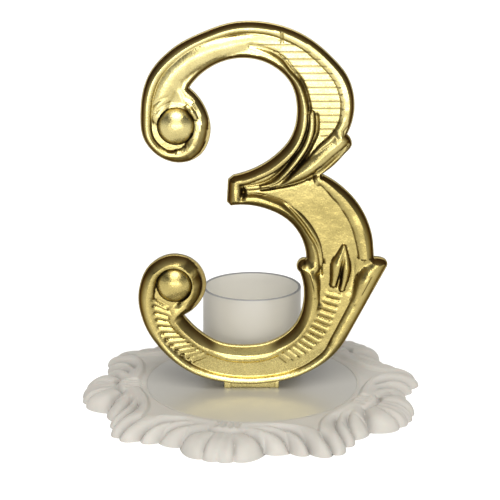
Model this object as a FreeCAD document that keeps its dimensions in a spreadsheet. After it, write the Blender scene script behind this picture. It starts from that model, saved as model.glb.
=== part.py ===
"""Table number holder: a gold numeral 3 that plugs into a round white base with a floral rim,
with a tealight cup standing behind the numeral.

Millimetres.  Origin: centre of the base on the table.  +Z is up, and the numeral faces -Y.
"""
import FreeCAD, Part
import Sketcher
import math
import os

V = FreeCAD.Vector

# ---------------------------------------------------------------- driving dimensions

SIZES = {
    # floral rim, centred on the origin
    "RimCrestHigh": 6.5,
    "RimSeatRadius": 44.6,
    "RimLedgeRadius": 40.5,
    "RimSkirtRadius": 60.5,
    "RimOuterRadius": 72.0,
    # centre disc
    "DiscRadius": 44.4,
    "DiscTop": 5.0,
    "DiscThick": 2.2,
    "DiscEdgeRound": 0.5,
    "SocketWallRadius": 4.0,
    "SocketRadius": 2.0,
    "SocketFloor": 0.6,
    # candle cup
    "CupY": 22.5,
    "CupBoreRadius": 20.0,
    "CupTopRadius": 21.2,
    "CupFootRadius": 21.5,
    "CupTall": 35.0,
    "CupFloor": 1.6,
    "SpigotRadius": 8.0,
    "SpigotClear": 0.05,
    "SpigotLong": 2.0,
    "CupLip": 0.4,
    # numeral
    "BackY": -4.5,
    "BackThick": 2.0,
    "WallInset": 0.7,
    "WallDeep": 4.0,
    "CrestInset": 2.4,
    "CrestDeep": 6.0,
    "FieldInset": 5.4,
    "FieldDeep": 1.4,
    "HollowInset": 2.4,
    "HollowDeep": 3.0,
    "BallRadius": 7.5,
    "BallDeep": 8.0,
    # foot and pegs of the numeral
    "FootLeft": -11.6,
    "FootRight": 11.2,
    "FootFrontY": -9.0,
    "WebFrontY": -8.5,
    "FootTop": 8.2,
    "LeftRibWide": 3.0,
    "RightRibWide": 1.8,
    "PegX": 7.0,
    "PegRadius": 1.9,
    "PegLong": 3.8,
    "PegRoot": 0.5,
}

doc = FreeCAD.newDocument("table_number_holder")
sheet = doc.addObject("Spreadsheet::Sheet", "Sizes")
for row, (alias, value) in enumerate(SIZES.items(), start=1):
    sheet.set(f"A{row}", alias)
    sheet.set(f"B{row}", str(value))
    sheet.setAlias(f"B{row}", alias)
doc.recompute()


def size(alias):
    """The value of one cell of the sheet."""
    return float(getattr(sheet, alias))


def bind(obj, prop, formula):
    """Bind a property to the sheet: an alias stands in the formula as <Alias>."""
    obj.setExpression(prop, formula.replace("<", "Sizes.").replace(">", ""))


# ---------------------------------------------------------------- sketch helpers

def polygon(sketch, points):
    """Closed chain of straight lines."""
    for start, end in zip(points, points[1:] + points[:1]):
        sketch.addGeometry(Part.LineSegment(V(*start, 0), V(*end, 0)))


def circle(sketch, name, place, alias):
    """Circle whose radius follows a cell of the sheet."""
    number = sketch.addGeometry(Part.Circle(place, V(0, 0, 1), size(alias)))
    radius = sketch.addConstraint(Sketcher.Constraint("Radius", number, size(alias)))
    sketch.renameConstraint(radius, name)
    bind(sketch, f"Constraints.{name}", f"<{alias}>")


def free_sketch(name, placement=None):
    """A sketch that belongs to no body."""
    sketch = doc.addObject("Sketcher::SketchObject", name)
    if placement:
        sketch.Placement = placement
    return sketch


def body_sketch(body, name, role):
    """A sketch on one of a body's own origin planes."""
    sketch = body.newObject("Sketcher::SketchObject", name)
    plane = next(item for item in body.Origin.OriginFeatures if item.Role == role)
    sketch.AttachmentSupport = [(plane, "")]
    sketch.MapMode = "FlatFace"
    return sketch


# ---------------------------------------------------------------- floral rim

UNITS = 5
SHELL_AZIMUTH = -10.5
# One half of a repeat, from the middle of a shell to the middle of a leaf pair.
# Each lobe: azimuth and radius of its crest, then of the dip that ends it.
HALF_REPEAT_LOBES = [
    (2.5, 71.3, 5.0, 69.6),
    (10.0, 69.4, 15.0, 63.2),
    (19.5, 65.0, 23.5, 63.8),
    (26.5, 67.6, 29.5, 66.6),
    (33.0, 71.6, 36.0, 70.2),
]
SHELL_MIDDLE_RADIUS = 70.4


def on_circle(azimuth, radius):
    """A point of the rim; azimuth 0 is the front (-Y), and it grows towards +X."""
    angle = math.radians(azimuth)
    return V(radius * math.sin(angle), -radius * math.cos(angle), 0)


def rim_lobes():
    """Arcs of the scalloped outline, once round, each as three points."""
    half = []
    dip_azimuth, dip_radius = 0.0, SHELL_MIDDLE_RADIUS
    for crest_azimuth, crest_radius, next_azimuth, next_radius in HALF_REPEAT_LOBES:
        half.append(((dip_azimuth, dip_radius), (crest_azimuth, crest_radius),
                     (next_azimuth, next_radius)))
        dip_azimuth, dip_radius = next_azimuth, next_radius
    mirrored = [tuple((-azimuth, radius) for azimuth, radius in reversed(lobe)) for lobe in reversed(half)]
    for unit in range(UNITS):
        middle = SHELL_AZIMUTH + unit * 360 / UNITS
        for lobe in mirrored + half:
            yield [on_circle(middle + azimuth, radius) for azimuth, radius in lobe]


def make_floral_base():
    outline = free_sketch("rim_outline")
    for start, crest, end in rim_lobes():
        outline.addGeometry(Part.Arc(start, crest, end))
    slab = doc.addObject("Part::Extrusion", "rim_slab")
    slab.Base = outline
    slab.DirMode = "Custom"
    slab.Dir = V(0, 0, 1)
    slab.Solid = True
    bind(slab, "LengthFwd", "<RimCrestHigh> + 1")

    seat = size("RimSeatRadius")
    ledge = size("RimLedgeRadius")
    crest = size("RimCrestHigh")
    skirt = size("RimSkirtRadius")
    ledge_top = size("DiscTop") - size("DiscThick")
    section = free_sketch("rim_section", FreeCAD.Placement(V(), FreeCAD.Rotation(V(1, 0, 0), 90)))
    polygon(section, [
        (ledge, 1.0), (ledge, ledge_top), (seat, ledge_top), (seat, 5.2),
        (seat + 2.0, crest), (53.0, crest), (57.0, crest - 0.6), (62.0, crest - 1.0),
        (67.5, 3.2), (size("RimOuterRadius"), 0.0), (skirt, 0.0), (skirt - 0.5, 3.0),
        (57.0, 3.9), (seat + 3.0, 4.0), (seat + 2.5, 1.0),
    ])
    ring = doc.addObject("Part::Revolution", "rim_ring")
    ring.Source = section
    ring.Axis = V(0, 0, 1)
    ring.Angle = 360
    ring.Solid = True

    base = doc.addObject("Part::MultiCommon", "floral_base")
    base.Shapes = [slab, ring]
    return base


# ---------------------------------------------------------------- centre disc

def make_centre_disc():
    body = doc.addObject("PartDesign::Body", "centre_disc")
    plate_sketch = body_sketch(body, "disc_plate_sketch", "XY_Plane")
    circle(plate_sketch, "rim", V(), "DiscRadius")
    bind(plate_sketch, "AttachmentOffset.Base.z", "<DiscTop> - <DiscThick>")
    plate = body.newObject("PartDesign::Pad", "disc_plate")
    plate.Profile = plate_sketch
    bind(plate, "Length", "<DiscThick>")

    socket_y = size("BackY") - size("BackThick")
    socket_places = [V(side * size("PegX"), socket_y, 0) for side in (-1, 1)]
    wall_sketch = body_sketch(body, "socket_wall_sketch", "XY_Plane")
    for number, place in enumerate(socket_places):
        circle(wall_sketch, f"wall{number}", place, "SocketWallRadius")
    bind(wall_sketch, "AttachmentOffset.Base.z", "<SocketFloor>")
    walls = body.newObject("PartDesign::Pad", "socket_walls")
    walls.Profile = wall_sketch
    bind(walls, "Length", "<DiscTop> - <SocketFloor>")

    hole_sketch = body_sketch(body, "disc_hole_sketch", "XY_Plane")
    for number, place in enumerate(socket_places):
        circle(hole_sketch, f"socket{number}", place, "SocketRadius")
    circle(hole_sketch, "spigot", V(0, size("CupY"), 0), "SpigotRadius")
    holes = body.newObject("PartDesign::Pocket", "disc_holes")
    holes.Profile = hole_sketch
    holes.Reversed = True
    bind(holes, "Length", "<DiscTop> + 1")
    doc.recompute()

    edge = body.newObject("PartDesign::Fillet", "disc_edge_round")
    rim_edges = [
        f"Edge{number}" for number, item in enumerate(holes.Shape.Edges, start=1)
        if isinstance(item.Curve, Part.Circle)
        and item.Curve.Radius > size("DiscRadius") - 1
        and item.Curve.Center.z > size("DiscTop") - 0.1
    ]
    edge.Base = (holes, rim_edges)
    bind(edge, "Radius", "<DiscEdgeRound>")
    body.Tip = edge
    return body


# ---------------------------------------------------------------- candle cup

def make_candle_cup():
    body = doc.addObject("PartDesign::Body", "candle_cup")
    section = body_sketch(body, "cup_section", "XZ_Plane")
    low = size("DiscTop")
    top = low + size("CupTall")
    spigot = size("SpigotRadius") - size("SpigotClear")
    bore = size("CupBoreRadius")
    outer = size("CupTopRadius")
    lip = size("CupLip")
    foot = size("CupFootRadius")
    floor = low + size("CupFloor")
    points = [
        (0, low - size("SpigotLong")), (spigot, low - size("SpigotLong")), (spigot, low),
        (foot - lip, low), (foot, low + lip), (outer, top - lip), (outer - lip, top),
        (bore + lip, top), (bore, top - lip), (bore, floor), (0, floor),
    ]
    polygon(section, points)
    cup = body.newObject("PartDesign::Revolution", "cup_wall")
    cup.Profile = section
    cup.ReferenceAxis = (section, ["V_Axis"])
    cup.Angle = 360
    body.Tip = cup
    bind(body, "Placement.Base.y", "<CupY>")
    return body


# ---------------------------------------------------------------- numeral

# The outline of the 3 seen from the front, as X and Z.  Each stretch is smooth, or straight
# where it has a single point, and it starts where the stretch before it ends.
NUMERAL_START = (-24.5, 129.5)
NUMERAL_STRETCHES = [
    # inner edge of the upper bowl, from the upper hook to the arm
    [(-13.5, 138.8), (-4.0, 141.0), (7.0, 138.5), (14.5, 132.0), (17.6, 120.5), (15.3, 110.0),
     (8.5, 102.2), (-1.0, 96.7), (-7.5, 94.8)],
    # end of the arm
    [(-9.6, 93.0)],
    [(-10.1, 84.0)],
    [(-8.5, 82.3)],
    # inner edge of the lower bowl as far as the left prong
    [(5.0, 81.2), (16.0, 74.8), (22.0, 60.5)],
    # left prong
    [(19.2, 59.7), (18.2, 58.0), (19.5, 54.5)],
    # inner edge of the lower bowl, to the lower hook
    [(21.2, 43.5), (17.5, 31.8), (8.0, 24.7), (-3.0, 22.8), (-14.0, 24.4), (-20.5, 28.3), (-28.0, 36.2)],
    # lower ball and the outer edge of the lower bowl
    [(-22.0, 41.0), (-18.7, 50.0), (-23.0, 59.0), (-32.0, 62.0), (-41.0, 58.0), (-46.2, 47.0),
     (-44.8, 33.5), (-37.5, 21.0), (-25.5, 11.0), (-11.0, 6.7), (5.0, 6.3), (20.5, 9.9),
     (32.0, 17.0), (39.0, 26.0)],
    # straight edge below the right prong, and the prong
    [(54.8, 57.0)],
    [(54.5, 59.5), (52.5, 60.6), (49.5, 60.9)],
    # outer edge of the waist, up to the leaf
    [(48.2, 71.0), (43.0, 82.5), (36.3, 89.8), (28.0, 95.2)],
    # leaf at the waist
    [(36.0, 102.5), (39.5, 107.8), (37.5, 111.2)],
    # outer edge of the upper bowl and the upper ball
    [(40.2, 122.0), (37.8, 133.0), (30.5, 142.0), (18.5, 150.7), (6.0, 154.6), (-6.0, 154.9),
     (-19.0, 151.0), (-31.0, 144.6), (-40.0, 135.0), (-43.7, 121.0), (-42.0, 107.8), (-36.0, 101.8),
     (-29.0, 99.8), (-21.0, 102.5), (-16.5, 111.0), (-18.0, 121.0), NUMERAL_START],
]
BALL_CENTRES = [(-29.7, 115.0), (-31.4, 50.3)]

# Sketches of the numeral lie in the XZ plane, with their normal along -Y.
FACING = FreeCAD.Rotation(V(1, 0, 0), 90)


def unit(vector):
    return vector / vector.Length


def tangents(points):
    """Directions of a smooth curve at its points, each from the circle through three of them."""
    chords = [end - start for start, end in zip(points, points[1:])]
    inner = [
        unit(before * (after.Length / before.Length) + after * (before.Length / after.Length))
        for before, after in zip(chords, chords[1:])
    ]

    def mirrored(direction, chord):
        along = unit(chord)
        return along * (2 * along.dot(direction)) - direction

    return [mirrored(inner[0], chords[0]), *inner, mirrored(inner[-1], chords[-1])]


def arc_from(start, direction, end):
    """Arc that leaves a point in a direction and ends at another point."""
    chord = end - start
    side = chord.cross(direction).z
    turn = chord.getAngle(direction)
    if turn < 1e-4:
        return Part.LineSegment(start, end)
    across = unit(V(-chord.y, chord.x, 0)) * math.copysign(1, side)
    bulge = across * (chord.Length / 2 * math.tan(turn / 2))
    return Part.Arc(start, (start + end) / 2 + bulge, end)


def biarc(start, leaving, end, arriving):
    """Two arcs that join two points smoothly and meet the given directions."""
    chord = end - start
    both = leaving + arriving
    spread = 2 * (1 - leaving.dot(arriving))
    if spread < 1e-6:
        reach = chord.dot(chord) / (4 * chord.dot(arriving))
    else:
        reach = (math.sqrt(chord.dot(both) ** 2 + spread * chord.dot(chord)) - chord.dot(both)) / spread
    middle = (start + leaving * reach + end - arriving * reach) / 2
    second = arc_from(end, arriving * -1, middle)
    return [arc_from(start, leaving, middle), second]


def numeral_plan():
    outline = free_sketch("numeral_outline")
    start = NUMERAL_START
    for stretch in NUMERAL_STRETCHES:
        points = [V(*point, 0) for point in [start, *stretch]]
        start = stretch[-1]
        if len(points) == 2:
            outline.addGeometry(Part.LineSegment(*points))
            continue
        directions = tangents(points)
        for number in range(len(points) - 1):
            following = number + 1
            for piece in biarc(points[number], directions[number], points[following], directions[following]):
                outline.addGeometry(piece)
    outline.Placement = FreeCAD.Placement(V(), FACING)
    bind(outline, "Placement.Base.y", "<BackY>")
    plan = doc.addObject("Part::Face", "numeral_plan")
    plan.Sources = [outline]
    return plan


def inset(plan, name, formula):
    """The numeral's plan with its edge moved inwards."""
    offset = doc.addObject("Part::Offset2D", name)
    offset.Source = plan
    offset.Mode = "Skin"
    offset.Join = "Arc"
    bind(offset, "Value", formula)
    return offset


def forward(plan, name, start, length):
    """A solid on a plan, from a depth in front of the numeral's back, of the length given."""
    solid = doc.addObject("Part::Extrusion", name)
    solid.Base = plan
    solid.DirMode = "Custom"
    solid.Dir = V(0, -1, 0)
    solid.Solid = True
    bind(solid, "LengthFwd", length)
    bind(solid, "Placement.Base.y", f"-({start})")
    return solid


def fuse(name, shapes):
    union = doc.addObject("Part::MultiFuse", name)
    union.Shapes = shapes
    return union


def cut(name, base, tool):
    result = doc.addObject("Part::Cut", name)
    result.Base = base
    result.Tool = tool
    return result


def make_numeral_face(plan):
    side_plan = inset(plan, "side_plan", "-<WallInset>")
    crest_plan = inset(plan, "crest_plan", "-<CrestInset>")
    side = forward(side_plan, "face_side", "<BackThick>", "<WallDeep>")
    crest = forward(crest_plan, "face_crest", "<BackThick>", "<CrestDeep>")
    field = forward(inset(plan, "field_plan", "-<FieldInset>"), "face_field",
                    "<BackThick> + <CrestDeep> - <FieldDeep>", "<FieldDeep> + 1")
    shapes = [cut("face_recessed", fuse("face_block", [side, crest]), field)]
    for number, (x, z) in enumerate(BALL_CENTRES):
        ball = doc.addObject("Part::Sphere", f"ball_{number}")
        bind(ball, "Radius", "<BallRadius>")
        ball.Placement.Base = V(x, 0, z)
        bind(ball, "Placement.Base.y", "<BackY> - <BackThick> - <BallDeep> + <BallRadius>")
        shapes.append(ball)
    hollow = forward(inset(plan, "hollow_plan", "-<HollowInset>"), "face_hollow",
                     "-<BallRadius>", "<BallRadius> + <BackThick> + <HollowDeep>")
    return cut("numeral_face", fuse("face_solid", shapes), hollow), side


def make_box(name, low, high):
    box = doc.addObject("Part::Box", name)
    for axis, start, end in zip("xyz", low, high):
        bind(box, f"Placement.Base.{axis}", start)
        bind(box, {"x": "Length", "y": "Width", "z": "Height"}[axis], f"({end}) - ({start})")
    return box


def make_numeral_back(plan, face_side):
    plate = forward(plan, "back_plate", "0", "<BackThick>")
    front_of_plate = "<BackY> - <BackThick>"
    web = make_box("foot_web", ("<FootLeft>", "<WebFrontY>", "<DiscTop>"),
                   ("<FootRight>", "<BackY>", "<FootTop>"))
    left_rib = make_box("foot_rib_left", ("<FootLeft>", "<FootFrontY>", "<DiscTop>"),
                        ("<FootLeft> + <LeftRibWide>", "<BackY>", "<FootTop>"))
    right_rib = make_box("foot_rib_right", ("<FootRight> - <RightRibWide>", "<FootFrontY>", "<DiscTop>"),
                         ("<FootRight>", "<BackY>", "<FootTop>"))
    pegs = []
    for name, sign in (("peg_left", "-"), ("peg_right", "")):
        peg = doc.addObject("Part::Cylinder", name)
        bind(peg, "Radius", "<PegRadius>")
        bind(peg, "Height", "<PegLong> + <PegRoot>")
        bind(peg, "Placement.Base.x", f"{sign}<PegX>")
        bind(peg, "Placement.Base.y", front_of_plate)
        bind(peg, "Placement.Base.z", "<DiscTop> - <PegLong>")
        pegs.append(peg)
    foot = cut("foot", fuse("foot_block", [web, left_rib, right_rib]), face_side)
    return fuse("numeral_back", [plate, foot, *pegs])


# ---------------------------------------------------------------- build, check and write

def main():
    plan = numeral_plan()
    face, face_side = make_numeral_face(plan)
    nodes = [
        make_floral_base(),
        make_centre_disc(),
        make_candle_cup(),
        make_numeral_back(plan, face_side),
        face,
    ]
    doc.recompute()
    for obj in doc.Objects:
        if "Invalid" in obj.State or "Error" in obj.State:
            raise RuntimeError(f"{obj.Name} failed: {obj.State}")
    for node in nodes:
        node.Label = node.Name
        shape = node.Shape
        if shape.isNull() or not shape.isValid() or not shape.Solids:
            raise RuntimeError(f"{node.Label} has no valid solid")
    os.makedirs("parts", exist_ok=True)
    for node in nodes:
        node.Shape.exportStep(os.path.join("parts", f"{node.Label}.step"))
        box = node.Shape.BoundBox
        print(f"{node.Label}: {len(node.Shape.Solids)} solid, volume {node.Shape.Volume:.0f}, "
              f"X {box.XMin:.2f} {box.XMax:.2f}, Y {box.YMin:.2f} {box.YMax:.2f}, "
              f"Z {box.ZMin:.2f} {box.ZMax:.2f}")


main()
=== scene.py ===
import math
import bmesh
import bpy
import numpy as np
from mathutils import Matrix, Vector
from mathutils.geometry import delaunay_2d_cdt


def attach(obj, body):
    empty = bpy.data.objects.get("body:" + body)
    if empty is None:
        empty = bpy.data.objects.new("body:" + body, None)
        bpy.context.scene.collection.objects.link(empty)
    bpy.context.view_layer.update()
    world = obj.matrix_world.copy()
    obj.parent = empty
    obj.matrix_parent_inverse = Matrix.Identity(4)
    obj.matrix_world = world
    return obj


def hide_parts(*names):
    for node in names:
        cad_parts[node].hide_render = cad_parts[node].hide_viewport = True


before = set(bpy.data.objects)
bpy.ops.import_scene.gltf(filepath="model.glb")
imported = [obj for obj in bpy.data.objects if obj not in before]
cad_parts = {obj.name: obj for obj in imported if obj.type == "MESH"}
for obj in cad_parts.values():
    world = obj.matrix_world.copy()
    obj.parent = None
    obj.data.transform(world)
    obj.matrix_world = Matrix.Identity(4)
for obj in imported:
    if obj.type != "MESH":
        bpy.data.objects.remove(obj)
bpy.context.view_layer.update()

# Lengths are millimetres until a mesh is made.  The numeral is drawn as X and Z, seen from the front.
MM = 0.001


# ---------------------------------------------------------------- curves

def ease(start, end, value):
    """0 before start, 1 after end, and smooth between them."""
    share = np.clip((value - start) / (end - start), 0, 1)
    return share * share * (3 - 2 * share)


def smooth_curve(points, spacing=0.8):
    """Short steps along arcs through the points.  Columns after the first two follow along."""
    points = np.asarray(points, float)
    chords = np.diff(points[:, :2], axis=0)
    lengths = np.linalg.norm(chords, axis=1)
    if len(points) == 2:
        directions = [chords[0] / lengths[0]] * 2
    else:
        ratio = (lengths[1:] / lengths[:-1])[:, None]
        inner = chords[:-1] * ratio + chords[1:] / ratio
        inner /= np.linalg.norm(inner, axis=1)[:, None]
        first, last = chords[0] / lengths[0], chords[-1] / lengths[-1]
        directions = [2 * first * (first @ inner[0]) - inner[0], *inner,
                      2 * last * (last @ inner[-1]) - inner[-1]]
    steps = []
    for number, length in enumerate(lengths):
        leaving, arriving = directions[number], directions[number + 1]
        turn = math.acos(np.clip(leaving @ arriving, -1, 1))
        reach = length / math.cos(turn / 4) ** 2
        t = np.linspace(0, 1, max(2, round(length / spacing)) + 1)[:-1, None]
        start, end = points[number], points[number + 1]
        blend = t * t * (3 - 2 * t)
        place = start + (end - start) * blend
        place[:, :2] += t * (1 - t) * reach * ((1 - t) * leaving - t * arriving)
        steps.append(place)
    return np.vstack([*steps, points[-1:]])


def nearest(places, line):
    """How far each place is from a line, and how far along the line its nearest point is, in steps."""
    gap = np.full(len(places), 1e9)
    along = np.zeros(len(places))
    for number, (start, end) in enumerate(zip(line[:-1, :2], line[1:, :2])):
        step = end - start
        offset = places - start
        t = np.clip(offset @ step / (step @ step), 0, 1)
        offset = offset - t[:, None] * step
        found = np.hypot(offset[:, 0], offset[:, 1])
        closer = found < gap
        gap[closer] = found[closer]
        along[closer] = number + t[closer]
    return gap, along


def inside(places, polygon):
    """Whether each place lies in a closed polygon."""
    x, y = places[:, 0], places[:, 1]
    odd = np.zeros(len(places), bool)
    for (x0, y0), (x1, y1) in zip(polygon, np.roll(polygon, -1, axis=0)):
        crosses = (y0 > y) != (y1 > y)
        odd ^= crosses & (x < x0 + (y - y0) * (x1 - x0) / (y1 - y0 if y1 != y0 else 1))
    return odd


def ends_taper(along, count, first, middle, last):
    """A value that goes from first to middle to last along a line."""
    share = along / count
    return np.where(share < 0.5, first + (middle - first) * ease(0, 0.5, share),
                    middle + (last - middle) * ease(0.5, 1, share))


# ---------------------------------------------------------------- meshes

def make_mesh(name, places, faces, crease, painted_shade=None, normals=None):
    """An object from places in millimetres, smooth-shaded except at edges sharper than crease degrees.

    The shade values are painted shade for the material: how much darker each place is made, on steep walls,
    in engraved lines and deep in the carving.  normals are exact shading normals where they are known.
    """
    mesh = bpy.data.meshes.new(name)
    mesh.from_pydata((np.asarray(places, float) * MM).tolist(), [], faces)
    mesh.validate()
    # painted shade, kept on each point for the material
    if painted_shade is not None:
        attribute = mesh.attributes.new("painted_shade", "FLOAT", "POINT")
        attribute.data.foreach_set("value", np.asarray(painted_shade, np.float32))
    mesh.shade_smooth()
    mesh.set_sharp_from_angle(angle=math.radians(crease))
    if normals is not None:
        mesh.normals_split_custom_set_from_vertices(normals.tolist())
    obj = bpy.data.objects.new(name, mesh)
    bpy.context.scene.collection.objects.link(obj)
    return obj


def lathe(profile, centre=(0, 0), steps=160):
    """Places and faces of a profile of (radius, z) turned about an upright axis."""
    angles = np.arange(steps) * 2 * math.pi / steps
    places = [(centre[0] + r * math.cos(a), centre[1] + r * math.sin(a), z)
              for r, z in profile for a in angles]
    faces = [(row * steps + i, row * steps + (i + 1) % steps,
              (row + 1) * steps + (i + 1) % steps, (row + 1) * steps + i)
             for row in range(len(profile) - 1) for i in range(steps)]
    faces.append(tuple(range(steps))[::-1])
    faces.append(tuple(range((len(profile) - 1) * steps, len(profile) * steps)))
    return places, faces


def rounded_block(low, high, radius):
    """Places and faces of a box with rounded edges, from its two opposite corners."""
    block = bmesh.new()
    bmesh.ops.create_cube(block, size=1)
    for corner in block.verts:
        corner.co = Vector([low[i] if corner.co[i] < 0 else high[i] for i in range(3)])
    bmesh.ops.bevel(block, geom=block.edges[:], offset=radius, segments=3, profile=0.5, affect="EDGES")
    block.verts.index_update()
    places = [tuple(corner.co) for corner in block.verts]
    faces = [tuple(corner.index for corner in face.verts) for face in block.faces]
    block.free()
    return places, faces


def together(parts):
    """Several lists of places and faces as one."""
    places, faces = [], []
    for part_places, part_faces in parts:
        first = len(places)
        places.extend(part_places)
        faces.extend(tuple(first + number for number in face) for face in part_faces)
    return places, faces


def place_piece(obj, body, node, material):
    """Gives a piece its material and the body it rides on, and hides the CAD node it stands in for."""
    obj.data.materials.append(material)
    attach(obj, body)
    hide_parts(node)


# ---------------------------------------------------------------- numeral outline

# Each point: X, Z, how wide the side wall is compared with 3 mm, and how strong the bead beside it is.
# A stretch is smooth, or straight where it has one point; it starts at the end of the one before.
NUMERAL_START = (-24.5, 129.5, 1.45, 0.0)
NUMERAL_STRETCHES = [
    # inner edge of the upper bowl, from the upper hook to the arm
    [(-13.5, 138.8, 1.45, 0.0), (-4.0, 141.0, 1.3, 0.2), (7.0, 138.5, 1.15, 0.6), (14.5, 132.0, 0.9, 1.0),
     (17.6, 120.5, 1.0, 1.0), (15.3, 110.0, 1.05, 1.0), (8.5, 102.2, 1.0, 1.0), (-1.0, 96.7, 0.9, 1.0),
     (-7.5, 94.8, 0.85, 0.8)],
    # end of the arm
    [(-9.6, 93.0, 1.2, 0.8)],
    [(-10.1, 84.0, 1.2, 1.0)],
    [(-8.5, 82.3, 1.0, 1.0)],
    # inner edge of the lower bowl as far as the left prong
    [(5.0, 81.2, 1.2, 1.0), (16.0, 74.8, 1.3, 1.0), (22.0, 60.5, 1.4, 1.0)],
    # left prong
    [(19.2, 59.7, 0.85, 0.6), (18.2, 58.0, 0.8, 0.6), (19.5, 54.5, 1.2, 1.0)],
    # inner edge of the lower bowl, to the lower hook
    [(21.2, 43.5, 1.3, 1.0), (17.5, 31.8, 1.15, 1.0), (8.0, 24.7, 0.9, 1.0), (-3.0, 22.8, 0.85, 1.0),
     (-14.0, 24.4, 0.9, 1.0), (-20.5, 28.3, 1.2, 1.0), (-28.0, 36.2, 1.3, 0.9)],
    # lower ball and the outer edge of the lower bowl
    [(-22.0, 41.0, 1.7, 0.9), (-18.7, 50.0, 1.9, 1.0), (-23.0, 59.0, 1.6, 1.0), (-32.0, 62.0, 1.2, 1.0),
     (-41.0, 58.0, 1.2, 1.0), (-46.2, 47.0, 1.4, 1.0), (-44.8, 33.5, 1.3, 1.0), (-37.5, 21.0, 1.1, 1.0),
     (-25.5, 11.0, 1.05, 1.0), (-11.0, 6.7, 1.0, 1.0), (5.0, 6.3, 1.0, 1.0), (20.5, 9.9, 1.0, 1.0),
     (32.0, 17.0, 1.1, 1.0), (39.0, 26.0, 1.4, 1.0)],
    # straight edge below the right prong, and the prong
    [(54.8, 57.0, 1.55, 1.0)],
    [(54.5, 59.5, 0.9, 0.8), (52.5, 60.6, 0.85, 0.6), (49.5, 60.9, 0.85, 0.6)],
    # outer edge of the waist, up to the leaf
    [(49.4, 61.9, 1.4, 0.8), (48.2, 71.0, 1.5, 0.7), (43.0, 82.5, 1.4, 0.6), (36.3, 89.8, 1.2, 0.6),
     (28.0, 95.2, 0.8, 0.6)],
    # leaf at the waist
    [(36.0, 102.5, 1.3, 0.0), (39.5, 107.8, 1.4, 0.0), (37.5, 111.2, 1.1, 0.0)],
    # outer edge of the upper bowl and the upper ball
    [(40.2, 122.0, 1.2, 0.6), (37.8, 133.0, 1.2, 0.5), (30.5, 142.0, 1.1, 0.5), (18.5, 150.7, 1.0, 0.7),
     (6.0, 154.6, 0.9, 0.9), (-6.0, 154.9, 0.9, 1.0), (-19.0, 151.0, 0.9, 1.0), (-31.0, 144.6, 1.0, 1.0),
     (-40.0, 135.0, 1.0, 1.0), (-43.7, 121.0, 1.0, 1.0), (-42.0, 107.8, 0.95, 1.0),
     (-36.0, 101.8, 1.0, 1.0), (-29.0, 99.8, 1.3, 1.0), (-21.0, 102.5, 1.6, 1.0), (-16.5, 111.0, 1.7, 0.9),
     (-18.0, 121.0, 1.4, 0.4), NUMERAL_START],
]
# The plate behind the relief.
BACK_Y = -4.5
PLATE_FRONT_Y = -6.5


def numeral_lines():
    """Each stretch of the outline in short steps."""
    start = NUMERAL_START
    lines = []
    for stretch in NUMERAL_STRETCHES:
        lines.append(smooth_curve([start, *stretch]))
        start = stretch[-1]
    return lines


def inward_directions(loop):
    """The direction into a closed loop at each of its points."""
    following = np.roll(loop, -1, axis=0)
    turned_area = np.sum(loop[:, 0] * following[:, 1] - following[:, 0] * loop[:, 1])
    along = following - np.roll(loop, 1, axis=0)
    along *= np.sign(turned_area) / np.linalg.norm(along, axis=1)[:, None]
    return np.column_stack([-along[:, 1], along[:, 0]])


outline_lines = numeral_lines()
outline = np.vstack([line[:-1] for line in outline_lines])
outline_xz = outline[:, :2]
outline_inwards = inward_directions(outline_xz)


# ---------------------------------------------------------------- numeral relief

# Heights above the plate of the flat field and of the bead's crest, and how far in from the edge the
# crest stands and the bead ends where the side wall is 3 mm wide.
FIELD = 3.7
CREST = 6.0
CREST_AT = 3.0
BEAD_END = 5.0
# The flat lip outside the side wall: its height, its width, and how much wider it is round the balls.
LIP_HIGH = 0.18
LIP_WIDE = 0.45
LIP_WIDER = 1.35
# How full the side wall's curve is: 1 is straight, 2 is a quarter of an ellipse.
WALL_POWER = 1.45

BALLS = [(-29.7, 115.0), (-31.4, 50.3)]
BALL_RADIUS = 7.4
BALL_TOP = 8.0
BALL_FOOT = 2.8

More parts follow.
